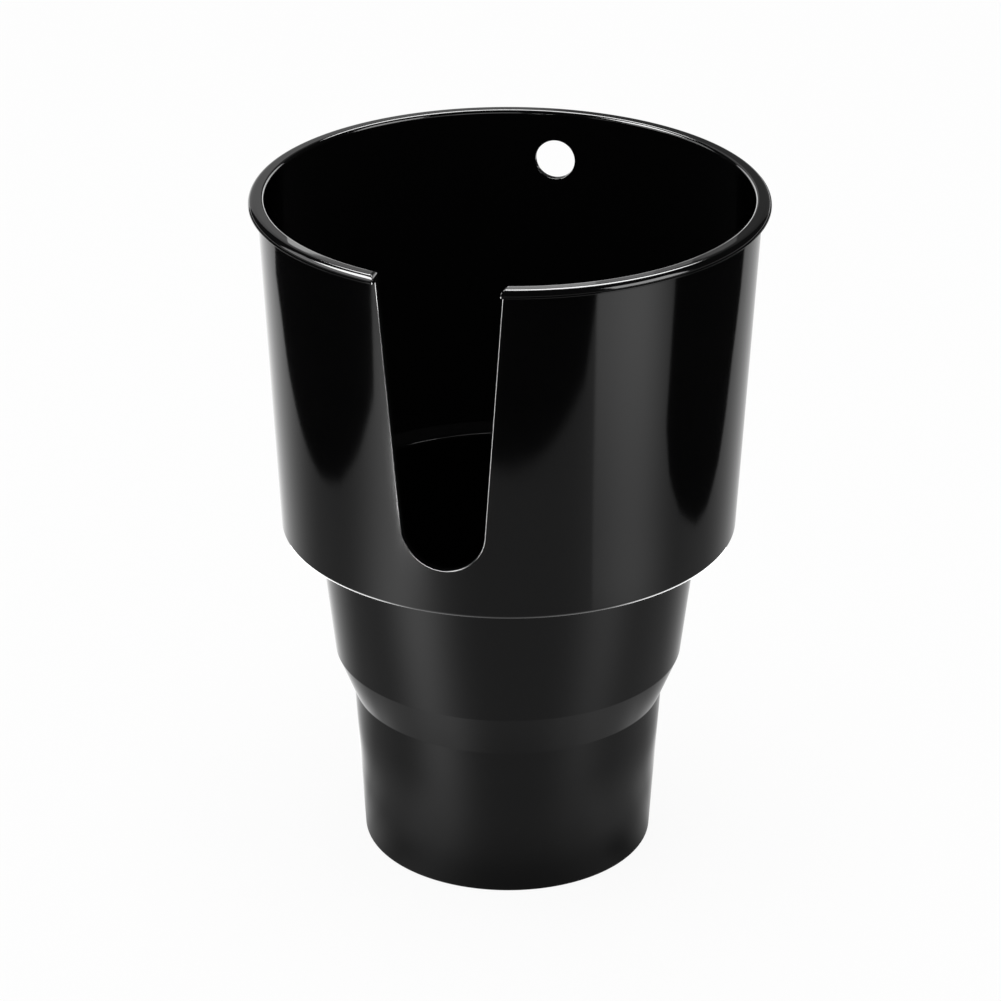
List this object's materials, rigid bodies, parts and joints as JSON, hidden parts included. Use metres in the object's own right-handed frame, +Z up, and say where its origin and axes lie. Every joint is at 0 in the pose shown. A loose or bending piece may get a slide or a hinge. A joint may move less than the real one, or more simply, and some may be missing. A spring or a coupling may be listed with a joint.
{
  "type": "cup holder adapter",
  "caption": "Stepped, tapered plastic cup that adapts a small vehicle cup holder to a wide mug, with an outward rim, a U-shaped handle slot and a round wall hole.",
  "frame": {"origin": "centre of the flat underside, on the cup's axis", "axes": "+Z up along the cup's axis, from the plug to the mug cup's open mouth; -Y towards the handle slot; +Y towards the wall with the round hole"},
  "size_m": [0.1092, 0.1076, 0.15],
  "materials": {
    "black_plastic": "glossy as moulded"
  },
  "bodies": {
    "root": {"holder_body": "black_plastic"}
  },
  "joints": []
}
